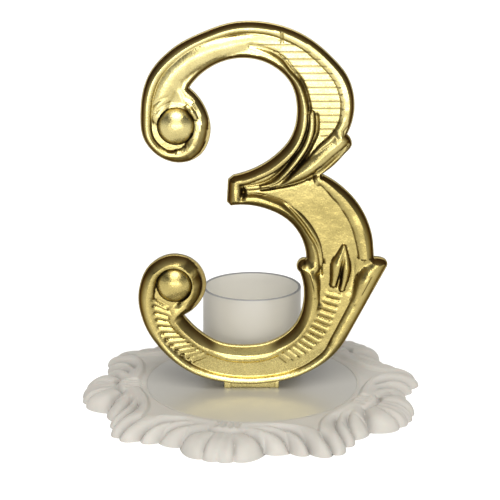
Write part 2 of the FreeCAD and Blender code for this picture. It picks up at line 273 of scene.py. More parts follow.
# Rounded ridges: line, half width at its start, middle and end, height, how low the sides go, how full the
# section is (0.5 for an ellipse, 1 for an arch with sloping sides), and how much of the height its end has.
RIDGES = [
    # broad band inside the outer bead of the upper bowl
    ([(-36.3, 119.0), (-33.0, 131.0), (-27.0, 138.3), (-19.0, 143.3), (-10.0, 146.2), (-2.0, 147.4),
      (4.0, 147.2), (9.0, 146.4)], (3.6, 5.0, 2.2), 6.3, 3.6, 0.8, 0.1),
    # rounded strand beside the inner bead, ending in a tip
    ([(3.9, 90.9), (9.1, 92.5), (12.6, 95.5), (15.7, 99.1), (18.8, 103.5), (21.5, 107.9), (23.0, 113.0),
      (23.3, 117.7), (23.1, 120.0)], (0.9, 1.9, 1.5), 6.5, 3.6, 0.6, 0.8),
    # leaf at the waist
    ([(7.1, 90.7), (12.5, 92.6), (16.8, 95.0), (21.5, 98.0), (26.5, 102.1), (30.0, 105.4),
      (33.2, 107.9), (35.2, 109.3)], (0.8, 3.2, 3.0), 7.4, 3.6, 0.65, 0.65),
    # outer bead of the upper bowl, where it turns in above the leaf
    ([(36.6, 120.5), (36.0, 117.2), (34.7, 114.4), (32.7, 111.7), (30.3, 109.3), (27.3, 106.8),
      (24.0, 103.4), (20.0, 99.2)], (2.2, 1.5, 0.7), 6.3, 3.6, 0.6, 0.5),
    # split bud
    ([(36.8, 66.2), (35.6, 62.5), (34.4, 59.0), (33.7, 54.9), (32.9, 50.7)], (1.3, 2.9, 1.7),
     6.9, 3.4, 0.8, 0.8),
    ([(37.0, 66.2), (37.6, 62.8), (37.9, 58.7), (37.5, 53.7), (36.4, 48.6)], (1.0, 2.2, 1.4),
     6.6, 3.4, 0.8, 0.8),
    # tops of the two prongs
    ([(20.9, 58.8), (23.0, 56.2), (24.2, 53.0), (25.2, 49.8), (25.6, 45.6)], (2.0, 3.2, 2.0),
     7.2, 3.6, 1.3, 0.7),
    ([(51.6, 59.4), (48.2, 56.2), (45.9, 52.4), (44.6, 49.0), (42.0, 43.0)], (2.4, 4.2, 2.6),
     7.4, 3.6, 1.3, 0.7),
    # broad inner bead at the foot of the lower bowl
    ([(24.0, 36.5), (20.6, 29.7), (14.9, 24.8), (6.8, 20.5), (-3.0, 19.1), (-13.5, 20.4), (-20.1, 23.4),
      (-26.0, 29.0)], (1.4, 2.4, 1.3), 6.6, 3.4, 0.5, 0.7),
    # knob where the upper spiral starts
    ([(-25.0, 122.6), (-23.4, 121.0), (-22.0, 118.2)], (1.3, 1.5, 1.2), 6.6, 3.4, 0.6, 0.8),
]

# Grooves: line, half width, depth.
GROOVES = [
    # between the hatched field and the inner bead of the upper bowl
    ([(-0.8, 146.2), (5.0, 144.7), (11.9, 140.9), (15.0, 137.0), (18.9, 132.4), (21.3, 126.3),
      (22.5, 120.8)], 0.8, 2.2),
    # either side of the strand beside the inner bead
    ([(-4.7, 91.1), (1.2, 91.5), (6.3, 93.1), (10.2, 95.9), (13.7, 99.5), (16.8, 103.5), (19.5, 107.9),
      (21.0, 111.8), (22.0, 115.7), (21.9, 119.3)], 0.55, 1.3),
    ([(3.9, 89.9), (9.1, 91.1), (13.0, 93.7), (15.7, 96.7), (18.1, 99.5), (20.4, 102.7), (22.3, 105.9),
      (23.8, 109.0), (25.3, 112.6), (25.5, 115.7), (25.2, 119.3)], 0.7, 2.0),
    # between the leaf and the lower bowl
    ([(-2.8, 89.1), (3.9, 89.5), (11.0, 90.7), (17.7, 92.3), (24.8, 95.5)], 0.6, 1.2),
    # between the inner bead of the lower bowl and its field
    ([(-2.0, 87.5), (1.6, 87.7), (5.5, 86.6), (9.1, 85.4), (12.7, 83.8), (15.5, 81.4), (18.3, 78.3),
      (20.7, 75.2), (23.1, 71.5), (25.2, 68.2), (26.6, 64.5), (27.3, 60.3), (27.8, 54.9)], 0.8, 1.6),
    # pit at the end of the arm
    ([(-4.3, 90.6), (-3.5, 89.0), (-4.3, 86.2)], 0.9, 2.6),
    # split of the bud, and its right side
    ([(36.2, 60.5), (35.9, 57.0), (35.5, 52.8), (34.7, 49.4)], 0.5, 1.0),
    ([(39.4, 66.0), (40.6, 60.0), (40.5, 53.0), (39.0, 47.5)], 1.3, 0.7),
    # seam at the top
    ([(11.3, 152.6), (11.6, 147.5)], 0.5, 0.8),
    # lower side of the leaf
    ([(22.5, 94.2), (28.7, 97.6), (33.2, 101.4), (36.4, 105.2), (37.2, 107.5)], 1.3, 2.6),
]

# Chains of cross ribs: the lines that the ribs' two ends follow, how many ribs, and their half width.
RIB_CHAINS = [
    ([(30.6, 46.6), (28.3, 40.2), (24.9, 33.0), (19.7, 25.6), (12.0, 20.2)],
     [(35.3, 45.4), (32.9, 38.1), (29.3, 30.1), (23.6, 22.9), (15.0, 17.8)], 13, 1.45),
    ([(-39.2, 43.0), (-38.9, 38.0), (-37.7, 32.7), (-34.3, 26.8), (-29.1, 21.6), (-24.5, 18.4)],
     [(-35.0, 40.6), (-33.4, 36.4), (-31.8, 32.2), (-28.6, 27.5), (-24.2, 23.2), (-19.6, 20.4)], 11, 1.5),
]
RIB_HIGH = 1.0

# The field of engraved lines: its outline, the lowest line, the step between lines, and how many there are.
HATCH = [(0.0, 147.5), (9.0, 143.5), (14.0, 139.0), (18.5, 132.5), (21.0, 127.0), (22.5, 121.0),
         (25.5, 118.5), (26.0, 112.5), (27.5, 109.5), (31.0, 111.0), (34.0, 115.5), (35.5, 122.0),
         (34.8, 128.5), (32.0, 134.0), (27.0, 140.5), (20.0, 145.5), (11.0, 149.0)]
HATCH_LOWEST = 111.0
HATCH_PITCH = 2.72
HATCH_COUNT = 14
HATCH_DEEP = 0.12

# Faint folds over the upper ball: radius from its centre, and the bearings between which each shows.
FOLDS = [(9.4, 50, 140), (11.9, 60, 135)]


def rib_lines():
    """Each cross rib's ends, half width and share of the way along its chain."""
    ribs = []
    for left, right, count, half in RIB_CHAINS:
        shares = np.linspace(0, 1, count)
        ends = []
        for rail in (left, right):
            line = smooth_curve(rail, 0.4)
            run = np.append(0, np.cumsum(np.linalg.norm(np.diff(line, axis=0), axis=1)))
            places = shares * run[-1]
            ends.append(np.column_stack([np.interp(places, run, line[:, axis]) for axis in (0, 1)]))
        ribs += [(np.array([a, b]), half, share) for a, b, share in zip(*ends, shares)]
    return ribs


def smooth_maximum(first, second, blend):
    """The larger of two heights, rounded where they meet."""
    share = np.clip(0.5 + 0.5 * (first - second) / blend, 0, 1)
    return second + (first - second) * share + blend * share * (1 - share)


def side_cap(gap, wide):
    """Height that the rounded side allows, at a distance from an edge."""
    start = LIP_WIDE + LIP_WIDER * ease(1.45, 1.9, wide)
    end = CREST_AT * wide
    share = np.clip((gap - start) / (end - start), 0, 1)
    wall = LIP_HIGH + (CREST + 0.1) * (1 - (1 - share) ** WALL_POWER) ** (1 / WALL_POWER)
    lip = LIP_HIGH * np.sqrt(1 - (1 - np.clip(gap / 0.3, 0, 1)) ** 2)
    return np.where(gap < start, lip, wall + 2 * np.maximum(0, gap - end))


def bead(gap, wide, strength):
    """Height of the rounded bead that follows an edge."""
    share = np.clip((gap / wide - CREST_AT) / (BEAD_END - CREST_AT), 0, 1)
    crease = 0.35 * strength * np.exp(-((gap / wide - BEAD_END) / 0.35) ** 2)
    return FIELD - crease + (CREST - FIELD) * strength * (1 - share ** 2) ** 0.75


def away_from(places, centre):
    """Distance of each place from a centre."""
    return np.hypot(places[:, 0] - centre[0], places[:, 1] - centre[1])


def ribs_at(places):
    """How high the cross ribs stand at each place, from 0 to 1, and the painted shade beside them."""
    crest = np.zeros(len(places))
    beside = np.zeros(len(places))
    for line, half, share in rib_lines():
        gap = nearest(places, line)[0] / half
        faded = 1 - 0.75 * ease(0.6, 1.0, share)
        crest = np.maximum(crest, faded * np.clip(1 - gap ** 2, 0, 1) ** 0.55)
        beside = np.maximum(beside, faded * (1 - ease(1.0, 1.3, gap)))
    return crest, 0.75 * beside * (1 - ease(0.0, 0.5, crest))


def relief(places):
    """Height of the numeral's front above its plate, in millimetres, and the painted shade in its engraved
    lines and beside its ribs.
    """
    cap = np.full(len(places), 1e9)
    top = np.full(len(places), FIELD)
    for ball in BALLS:
        top -= 0.7 * (1 - ease(8.5, 11.0, away_from(places, ball)))
    crest, lines = ribs_at(places)
    top += RIB_HIGH * crest
    for line in outline_lines:
        gap, along = nearest(places, line)
        rows = np.arange(len(line))
        wide = np.interp(along, rows, line[:, 2])
        strength = np.interp(along, rows, line[:, 3])
        cap = np.minimum(cap, side_cap(gap, wide))
        top = np.maximum(top, bead(gap, wide, strength))
    for points, widths, high, low, power, end in RIDGES:
        line = smooth_curve(points)
        gap, along = nearest(places, line)
        half = ends_taper(along, len(line) - 1, *widths)
        level = ends_taper(along, len(line) - 1, 0.55, 1.0, end)
        dome = low + (high - low) * level * np.clip(1 - (gap / half) ** 2, 0, 1) ** power
        top = smooth_maximum(dome - 2 * np.maximum(0, gap - half), top, 0.6)
    for points, half, deep in GROOVES:
        line = smooth_curve(points)
        gap, along = nearest(places, line)
        depth = deep * ends_taper(along, len(line) - 1, 0.3, 1.0, 0.5)
        top -= depth * np.exp(-(gap / half) ** 2)
    for ball in BALLS:
        away = away_from(places, ball)
        dome = BALL_FOOT + (BALL_TOP - BALL_FOOT) * np.sqrt(np.clip(1 - (away / BALL_RADIUS) ** 2, 0, 1))
        top = np.where(away < BALL_RADIUS, dome, top)
    x, z = BALLS[0]
    away = away_from(places, BALLS[0])
    bearing = np.degrees(np.arctan2(places[:, 1] - z, places[:, 0] - x))
    for radius, first, last in FOLDS:
        within = ease(first - 12, first, bearing) * (1 - ease(last, last + 12, bearing))
        top -= 0.25 * within * np.exp(-((away - radius) / 0.55) ** 2)
    row = (places[:, 1] - HATCH_LOWEST) / HATCH_PITCH
    off_row = np.abs(row - np.clip(np.round(row), 0, HATCH_COUNT - 1)) * HATCH_PITCH
    hatched = inside(places, HATCH) * (1 - ease(0.1, 0.5, off_row))
    top -= HATCH_DEEP * hatched
    return np.maximum(np.minimum(top, cap), 0), np.maximum(lines, hatched)


# Where the relief's mesh has its places, in millimetres.  Rings lie at these distances from the edge, which
# stretch with the side wall beyond the first few.  Rows lie beside each engraved line, and circles round
# each ball.  Lines lie beside each groove and rib, as shares of its half width.
RINGS = [0.12, 0.3, 0.5, 0.7, 0.8, 0.95, 1.15, 1.4, 1.7, 2.05, 2.4, 2.75, 3.1, 3.45, 3.8, 4.15,
         4.5, 4.75, 5.0, 5.25, 5.6]
FILL_SPACING = 0.46
HATCH_ROWS = [-0.5, -0.25, 0.0, 0.25, 0.5, 0.95, 1.36, 1.77]
HATCH_SPACING = 0.45
HATCH_FROM_EDGE = 1.5
GROOVE_SHARES = [-1.6, -1.1, -0.7, -0.35, 0.0, 0.35, 0.7, 1.1, 1.6]
RIB_SHARES = [-1.0, -0.85, -0.6, -0.3, 0.0, 0.3, 0.6, 0.85, 1.0]
BALL_CIRCLES = [6.5, 6.8, 7.05, 7.25, 7.35, 7.42, 7.6, 7.9]


def edge_rings(closed):
    """Places in rings that follow the edge."""
    wide = outline[:, 2]
    rings = []
    for gap in RINGS:
        reach = gap * (1 + (wide - 1) * ease(0.7, 1.4, gap))
        ring = outline_xz + outline_inwards * reach[:, None]
        rings.append(ring[nearest(ring, closed)[0] > reach - 0.03])
    return rings


def even_fill(closed):
    """Evenly spaced places inside the rings and outside the hatched field."""
    low, high = outline_xz.min(0), outline_xz.max(0)
    rows = np.arange(low[1], high[1], FILL_SPACING * 0.866)
    fill = np.array([(x + FILL_SPACING / 2 * (number % 2), z) for number, z in enumerate(rows)
                     for x in np.arange(low[0], high[0], FILL_SPACING)])
    fill = fill[inside(fill, outline_xz) & ~inside(fill, HATCH)]
    gap, along = nearest(fill, closed)
    wide = np.append(outline[:, 2], outline[0, 2])
    return fill[gap > np.interp(along, np.arange(len(closed)), wide) * RINGS[-1] + 0.2]


def hatch_places(closed):
    """Places in rows beside the engraved lines."""
    rows = [HATCH_LOWEST + HATCH_PITCH * number + shift
            for number in range(HATCH_COUNT) for shift in HATCH_ROWS]
    hatch = np.array([(x, z) for z in rows for x in np.arange(-2.0, 36.0, HATCH_SPACING)])
    hatch = hatch[inside(hatch, HATCH)]
    return hatch[nearest(hatch, closed)[0] > HATCH_FROM_EDGE]


def beside_line(line, half, shares):
    """Copies of a line, moved sideways by shares of a half width."""
    steps = np.gradient(line, axis=0)
    across = np.column_stack([-steps[:, 1], steps[:, 0]]) / np.linalg.norm(steps, axis=1)[:, None]
    return [line + across * half * share for share in shares]


def numeral_places():
    """Places of the relief's mesh: an even fill, and rows that follow the edge and each feature."""
    closed = np.vstack([outline_xz, outline_xz[:1]])
    others = np.vstack([*edge_rings(closed), even_fill(closed)])
    shaped = [hatch_places(closed)]
    for points, half, _ in GROOVES:
        shaped += beside_line(smooth_curve(points, 0.5), half, GROOVE_SHARES)
    for line, half, _ in rib_lines():
        others = others[nearest(others, line)[0] > 1.15 * half]
        shaped += beside_line(np.linspace(line[0], line[1], 9), half, RIB_SHARES)
    turn = np.linspace(0, 2 * math.pi, 90, endpoint=False)
    circle = np.column_stack([np.cos(turn), np.sin(turn)])
    for ball in BALLS:
        away = away_from(others, ball)
        others = others[(away < 6.3) | (away > 8.2)]
        shaped += [ball + circle * radius for radius in BALL_CIRCLES]
    return np.vstack([others, *shaped])


def upright(places, height):
    """Places on the numeral as X, Y and Z, from how far they stand in front of its plate."""
    return np.column_stack([places[:, 0], PLATE_FRONT_Y - height, places[:, 1]])


def outline_cap():
    """Triangles that fill the outline, as places along it, facing forward."""
    corners = [Vector(place) for place in outline_xz.tolist()]
    triangles = np.array(delaunay_2d_cdt(corners, [], [list(range(len(corners)))], 1, 1e-5)[2])
    first = outline_xz[triangles[:, 1]] - outline_xz[triangles[:, 0]]
    second = outline_xz[triangles[:, 2]] - outline_xz[triangles[:, 0]]
    away = first[:, 0] * second[:, 1] - first[:, 1] * second[:, 0] < 0
    triangles[away] = triangles[away][:, ::-1]
    return [tuple(face) for face in triangles.tolist()]


def relief_mesh_places(edge):
    """The relief's places and its triangles, all turned the same way.  The outline comes first."""
    places = np.vstack([outline_xz, numeral_places()])
    made = delaunay_2d_cdt([Vector(place) for place in places.tolist()], [], [list(range(edge))], 1, 1e-5)
    flat = np.array([tuple(place) for place in made[0]])
    faces = np.array(made[2])
    corners = flat[faces]
    first, second = corners[:, 1] - corners[:, 0], corners[:, 2] - corners[:, 0]
    area = first[:, 0] * second[:, 1] - first[:, 1] * second[:, 0]
    faces[area < 0] = faces[area < 0][:, ::-1]
    return flat, faces


def shading_normals(flat, height):
    """The relief's exact directions, from its slopes along X and Z."""
    step = 0.05
    slopes = [(relief(flat + shift)[0] - height) / step for shift in ((step, 0), (0, step))]
    normals = np.column_stack([-slopes[0], np.full(len(flat), -1.0), -slopes[1]])
    return normals / np.linalg.norm(normals, axis=1)[:, None]


def painted_relief_shade(flat, height, lines, normals):
    """Painted shade, from 0 to 1: how much darker the gold is painted on steep walls, on the lip and in
    engraved lines.
    """
    steep = 1 - ease(0.3, 0.88, -normals[:, 1])
    lip = 0.6 * (height < 0.2)
    # imitates the photo's light: near the foot, walls that face straight up or down stay bright
    upwards = normals[:, 2] / (np.hypot(normals[:, 0], normals[:, 2]) + 1e-6)
    bright = np.maximum(0.7 * ease(0.5, 0.8, -normals[:, 2]), 0.85 * ease(0.88, 0.97, upwards))
    bright *= 1 - ease(25, 50, flat[:, 1])
    return np.maximum(np.maximum(steep, lip) * (1 - bright), 0.65 * lines)


def make_relief():
    """The numeral's front: its carved top, its edge and a flat back against the plate."""
    edge = len(outline_xz)
    flat, faces = relief_mesh_places(edge)
    height, lines = relief(flat)
    front = upright(flat, height)
    normals = shading_normals(flat, height)
    # painted shade on the relief's walls, lip and engraved lines, for the gold
    painted_shade = painted_relief_shade(flat, height, lines, normals)
    boundary = np.arange(edge)
    following = np.roll(boundary, -1)
    back = upright(outline_xz, np.zeros(edge))
    count = len(front)
    joined = [tuple(face) for face in faces.tolist()]
    joined += [tuple(count + number for number in face[::-1]) for face in outline_cap()]
    joined += [(int(a), int(b), int(count + b), int(count + a)) for a, b in zip(boundary, following)]
    painted_shade = np.append(painted_shade, np.zeros(edge))
    normals = np.vstack([normals, np.tile([0.0, 1.0, 0.0], (edge, 1))])
    return make_mesh("numeral_relief", np.vstack([front, back]), joined, crease=50,
                     painted_shade=painted_shade, normals=normals)


# ---------------------------------------------------------------- numeral plate, foot and pegs

# The plate's rounded back edge: how far in from the outline each ring lies, and its Y.
PLATE_RINGS = [(0.0, PLATE_FRONT_Y), (0.0, BACK_Y - 0.3), (0.09, BACK_Y - 0.09), (0.3, BACK_Y)]
# The foot: a web and a rib at each of its ends, each with two opposite corners and an edge radius.
FOOT_BLOCKS = [
    ((-11.6, -8.5, 5.0), (11.2, BACK_Y, 8.2), 0.25),
    ((-11.6, -9.0, 5.0), (-8.6, -5.0, 8.2), 0.35),
    ((9.4, -9.0, 5.0), (11.2, -5.0, 8.2), 0.35),
]
PEG_X = 7.0
PEG_PROFILE = [(1.5, 1.2), (1.9, 1.6), (1.9, 5.02)]


def make_plate():
    """The flat plate behind the relief, with the foot and the two pegs."""
    edge = len(outline_xz)
    rings = []
    for inset, y in PLATE_RINGS:
        ring = outline_xz + outline_inwards * inset
        rings.append(np.column_stack([ring[:, 0], np.full(edge, y), ring[:, 1]]))
    places = np.vstack(rings)
    cap = outline_cap()
    last = (len(rings) - 1) * edge
    faces = cap + [tuple(last + number for number in face[::-1]) for face in cap]
    for row in range(len(rings) - 1):
        for i in range(edge):
            following = (i + 1) % edge
            faces.append((row * edge + i, row * edge + following,
                          (row + 1) * edge + following, (row + 1) * edge + i))
    parts = [(places.tolist(), faces)]
    parts += [rounded_block(*block) for block in FOOT_BLOCKS]
    parts += [lathe(PEG_PROFILE, (x, PLATE_FRONT_Y), steps=32) for x in (-PEG_X, PEG_X)]
    return make_mesh("numeral_plate", *together(parts), crease=20)


# ---------------------------------------------------------------- floral rim

# Azimuths are in degrees from the front, growing towards +X.  The rim is five repeats of a shell and a pair
# of leaves, each the mirror image of itself about the middle of its shell.
SEAT_RADIUS = 44.3
SHELL_AZIMUTH = -10.5
REPEAT = 72.0
RIM_COLUMNS = 1080
# Height of the band beside the disc, how much higher the carving is, and the highest that it may reach.
BAND_HIGH = 5.3
CARVING_HIGH = 6.5
HIGHEST = 6.9
# Lobes of the edge, from the middle of a shell to the middle of a leaf pair.
# Each lobe: azimuth and radius of its crest, then of the dip that ends it.
HALF_REPEAT_LOBES = [(2.5, 71.3, 5.0, 69.6), (10.0, 69.4, 15.0, 63.2), (19.5, 65.0, 23.5, 63.8),
                     (26.5, 67.6, 29.5, 66.6), (33.0, 71.6, 36.0, 70.2)]
SHELL_MIDDLE_RADIUS = 70.4
# All of these radii are scaled by this.
RIM_SCALE = 0.997
# How far out each ring of the carved top lies, from 0 at the seat to 1 at the edge; closer near the edge.
RING_SHARES = np.concatenate([np.linspace(0, 0.86, 44), 1 - 0.14 * (1 - np.linspace(0, 1, 22)[1:]) ** 1.8])

# Valleys of the carving: azimuth and radius along each, half width, depth, and the share of the depth
# that it starts with.
RIM_VALLEYS = [
    # shell lobe and side ball
    ([(3.6, 58.5), (4.4, 63.0), (5.0, 70.5)], 3.0, 1.7, 0.3),
    # side ball and first leaf lobe
    ([(8.0, 55.6), (11.2, 58.0), (13.6, 61.0), (15.0, 64.4)], 4.4, 4.8, 0.5),
    # between leaf lobes
    ([(11.0, 53.0), (17.0, 54.0), (21.0, 57.5), (23.0, 62.0), (23.5, 65.4)], 3.4, 3.3, 0.05),
    ([(16.0, 51.2), (22.0, 52.6), (26.5, 56.0), (29.0, 62.0), (29.6, 67.8)], 3.2, 3.3, 0.05),
    # between the two leaves
    ([(36.0, 58.0), (36.0, 63.0), (36.0, 70.5)], 3.6, 4.0, 0.3),
    # hollow between the shell's crown and its lobes
    ([(0.0, 56.6), (4.0, 56.6), (7.5, 55.0)], 2.8, 3.2, 0.6),
]
# Fine grooves over the shell: azimuth and radius along each, half width, depth.
RIM_FLUTES = [
    ([(1.35, 60.0), (1.6, 71.5)], 1.5, 0.5),
    ([(1.7, 46.5), (1.6, 53.5)], 0.8, 0.55),
    ([(4.5, 47.0), (4.4, 53.0)], 0.8, 0.55),
]
# Where the carving steps up from the smooth band beside the disc: azimuths, and the radius at each.
RIM_STEP = ([0.0, 5.0, 6.5, 13.0, 18.0, 24.0, 29.0, 32.0, 34.0, 36.0],
            [46.8, 47.2, 47.4, 47.0, 47.3, 48.8, 51.0, 53.4, 56.0, 59.0])
# How far in from the edge the carving's rounded shoulder begins: azimuths, and the distance at each.
RIM_SHOULDER = ([0.0, 10.0, 15.0, 20.0, 36.0], [9.5, 9.5, 11.0, 14.0, 14.0])
# Raised lines: azimuth and radius along each, half width, height.
RIM_LINES = [
    ([(7.0, 49.4), (13.0, 48.8), (19.0, 49.3), (25.0, 51.0), (30.0, 54.2), (33.5, 59.0)], 1.4, 0.7),
    ([(0.0, 53.4), (3.0, 53.4), (5.8, 52.2)], 1.3, 0.5),
]


def from_polar(azimuth, radius):
    """Flat places from azimuths and radii."""
    angle = np.radians(azimuth)
    return np.column_stack([radius * np.sin(angle), radius * np.cos(angle)])


def rim_edge(folded):
    """Radius of the scalloped outline at an azimuth from the middle of a shell."""
    edge = np.zeros(len(folded))
    start, start_radius = 0.0, SHELL_MIDDLE_RADIUS
    for crest, crest_radius, end, end_radius in HALF_REPEAT_LOBES:
        share = np.clip((folded - start) / (end - start), 0, 1)
        chord = start_radius + (end_radius - start_radius) * share
        bulge = crest_radius - (start_radius + end_radius) / 2
        lobe = chord + bulge * (4 * share * (1 - share)) ** 0.8
        edge = np.where((folded >= start) & (folded <= end), lobe, edge)
        start, start_radius = end, end_radius
    return edge * RIM_SCALE


def near_polar_line(places, points):
    """Distance from a line given by azimuths and radii, how far along it in steps, and its steps."""
    points = np.array(points)
    line = smooth_curve(from_polar(points[:, 0], points[:, 1]))
    gap, along = nearest(places, line)
    return gap, along, len(line) - 1


def rim_height(folded, radius, edge):
    """Height of the rim's carved top, and how deep in the carving each place lies."""
    step = np.interp(folded, *RIM_STEP)
    inner = (BAND_HIGH - 0.4 * (1 - ease(0.0, 1.2, radius - SEAT_RADIUS))
             + (CARVING_HIGH - BAND_HIGH) * ease(-1.3, 1.0, radius - step))
    share = np.clip((edge - radius) / np.interp(folded, *RIM_SHOULDER), 0, 1)
    outer = CARVING_HIGH * np.sqrt(1 - (1 - share) ** 2)
    places = from_polar(folded, radius)
    depth = np.zeros(len(places))
    for points, half, deep, first in RIM_VALLEYS:
        gap, along, count = near_polar_line(places, points)
        share = np.clip(1 - gap / half, 0, 1)
        shape = 1 - np.sqrt(1 - share ** 2)
        depth = np.maximum(depth, deep * shape * ends_taper(along, count, first, 1.0, 1.0))
    for points, half, deep in RIM_FLUTES:
        gap = near_polar_line(places, points)[0]
        depth += deep * np.exp(-(gap / half) ** 2)
    for points, half, high in RIM_LINES:
        gap, along, count = near_polar_line(places, points)
        depth -= high * np.exp(-(gap / half) ** 2) * ends_taper(along, count, 1.0, 1.0, 0.2)
    height = np.minimum(inner, outer) - depth * ease(0.0, 3.0, edge - radius + 1.5)
    return np.clip(height, 0, HIGHEST), depth


# Radius and height of the hollow underside, from the skirt in to the ledge that carries the disc.
RIM_UNDERSIDE = [(60.5, 0.0), (60.0, 2.6), (57.0, 3.2), (47.6, 3.4), (47.1, 1.0), (40.5, 1.0), (40.5, 2.8),
                 (SEAT_RADIUS, 2.8)]


def make_rim():
    """The floral rim as one closed ring: its carved top, then its underside."""
    columns = RIM_COLUMNS
    azimuths = np.arange(columns) * 360 / columns
    folded = np.abs((azimuths - SHELL_AZIMUTH + REPEAT / 2) % REPEAT - REPEAT / 2)
    edge = rim_edge(folded)
    rings = []
    painted_shade = []
    angle = np.radians(azimuths)

    def ring(radius, height):
        rings.append(np.column_stack([radius * np.sin(angle), -radius * np.cos(angle), height]))

    for share in RING_SHARES:
        radius = SEAT_RADIUS + (edge - SEAT_RADIUS) * share
        height, depth = rim_height(folded, radius, edge)
        ring(radius, height)
        # the carving's depth, kept for painted shade on the white
        painted_shade.append(depth)
    for radius, height in RIM_UNDERSIDE:
        ring(np.full(columns, radius), np.full(columns, height))
        painted_shade.append(np.zeros(columns))
    faces = []
    for row in range(len(rings)):
        below = (row + 1) % len(rings)
        for i in range(columns):
            following = (i + 1) % columns
            faces.append((row * columns + i, below * columns + i,
                          below * columns + following, row * columns + following))
    return make_mesh("floral_rim", np.vstack(rings), faces, crease=45, painted_shade=np.concatenate(painted_shade) / 2)


# ---------------------------------------------------------------- candle cup

CUP_CENTRE = (0.0, 22.5)
# Radius and height: the spigot, the outside, the rounded lip, then the bore down to its floor.
CUP_PROFILE = [
    (7.9, 3.0), (7.9, 5.0),
    (21.0, 5.0), (21.35, 5.1), (21.48, 5.5),
    (21.2, 39.5), (21.12, 39.8), (20.9, 39.97), (20.6, 40.0), (20.3, 39.97), (20.08, 39.8), (20.0, 39.5),
    (20.0, 8.2), (19.8, 7.2), (19.2, 6.7), (18.2, 6.6),
]


# ---------------------------------------------------------------- materials

# Colours and lights were set together to give the photo's tones.  The whites are darker than a real
# white plastic's, because the lights are strong.

class Finish:
    """A material made of shader nodes."""

    def __init__(self, name):
        self.material = bpy.data.materials.new(name)
        self.material.use_nodes = True
        self.nodes = self.material.node_tree.nodes
        self.links = self.material.node_tree.links
        self.surface = self.nodes["Principled BSDF"]

    def node(self, kind, **inputs):
        made = self.nodes.new(kind)
        for name, value in inputs.items():
            made.inputs[name.replace("_", " ")].default_value = value
        return made

    def link(self, output, target):
        self.links.new(output, target)

    def set(self, **inputs):
        for name, value in inputs.items():
            self.surface.inputs[name.replace("_", " ")].default_value = value

    def place(self):
        """Where a point of the object is, in metres."""
        return self.nodes.new("ShaderNodeTexCoord").outputs["Object"]

    def noise(self, scale, detail=3.0):
        """A noise over the object, from 0 to 1."""
        made = self.node("ShaderNodeTexNoise", Scale=scale, Detail=detail)
        self.link(self.place(), made.inputs["Vector"])
        return made.outputs["Fac"]

    def ramp(self, value, stops):
        """Colours against a value."""
        made = self.nodes.new("ShaderNodeValToRGB")
        while len(made.color_ramp.elements) < len(stops):
            made.color_ramp.elements.new(0.5)
        for element, (place, colour) in zip(made.color_ramp.elements, stops):
            element.position = place
            element.color = (*colour, 1)
        self.link(value, made.inputs["Fac"])
        return made.outputs["Color"]

    def mix(self, share, first, second):
        """Two colours by a share: each is a socket or three numbers."""
        made = self.nodes.new("ShaderNodeMix")
        made.data_type = "RGBA"
        for value, target in ((share, made.inputs[0]), (first, made.inputs[6]), (second, made.inputs[7])):
            if isinstance(value, bpy.types.NodeSocket):
                self.link(value, target)
            else:
                target.default_value = (*value, 1)
        return made.outputs[2]

    def between(self, value, low, high, start=0.0, end=1.0):
        """A value moved from one range to another."""
        made = self.node("ShaderNodeMapRange")
        for target, number in zip(("From Min", "From Max", "To Min", "To Max"), (low, high, start, end)):
            made.inputs[target].default_value = number
        self.link(value, made.inputs["Value"])
        return made.outputs["Result"]

    def bump(self, heights, strength):
        """Fine unevenness, from several noise values and how far each lifts the surface."""
        normal = None
        for value, distance in heights:
            made = self.node("ShaderNodeBump", Strength=strength, Distance=distance)
            self.link(value, made.inputs["Height"])
            if normal is not None:
                self.link(normal, made.inputs["Normal"])
            normal = made.outputs["Normal"]
        self.link(normal, self.surface.inputs["Normal"])


# The height at which the gold's colours against height, its painted light and shade, end.
GOLD_TOP = 160.0


def gold_finish(name, has_painted_shade):
    """Metallised gold.  Two things imitate the photo's light: it is deeper at mid height, and brown where
    the recess value is high."""
    finish = Finish(name)
    split = finish.nodes.new("ShaderNodeSeparateXYZ")
    finish.link(finish.place(), split.inputs["Vector"])
    # painted light and shade by height: the gold is paler near the top and the foot, and deeper at mid
    # height
    level = finish.between(split.outputs["Z"], 0.0, GOLD_TOP * MM)
    dark = finish.ramp(level, [(0.1, (0.54, 0.45, 0.18)), (0.2, (0.43, 0.345, 0.12)),
                               (0.52, (0.31, 0.25, 0.088)), (0.8, (0.55, 0.465, 0.2))])
    pale = finish.ramp(level, [(0.1, (0.63, 0.53, 0.22)), (0.2, (0.51, 0.41, 0.15)),
                               (0.52, (0.385, 0.31, 0.11)), (0.8, (0.66, 0.57, 0.26))])
    mottle = finish.mix(finish.between(finish.noise(140.0), 0.35, 0.65), dark, pale)
    roughness = finish.between(finish.noise(900.0), 0.3, 0.7, 0.22, 0.32)
    finish.set(Metallic=1.0)
    if has_painted_shade:
        painted_shade = finish.nodes.new("ShaderNodeAttribute")
        painted_shade.attribute_name = "painted_shade"
        shade = painted_shade.outputs["Fac"]
        # painted shade: where the shade value is high, on steep walls and in engraved lines, the gold is
        # painted brown with a brown edge tint, and made rougher
        painted_shade_brown = (0.085, 0.053, 0.021)
        pale_glint, brown_glint = (1.0, 0.95, 0.8), (0.2, 0.14, 0.07)
        colour = finish.mix(finish.between(shade, 0, 1, 0, 0.95), mottle, painted_shade_brown)
        tint = finish.mix(shade, pale_glint, brown_glint)
        finish.link(tint, finish.surface.inputs["Specular Tint"])
        roughness = finish.mix(shade, roughness, (0.42, 0.42, 0.42))
    else:
        colour = mottle
    finish.link(colour, finish.surface.inputs["Base Color"])
    finish.link(roughness, finish.surface.inputs["Roughness"])
    finish.bump([(finish.noise(260.0, 4.0), 0.00035), (finish.noise(1500.0), 0.00012)], 0.5)
    return finish.material


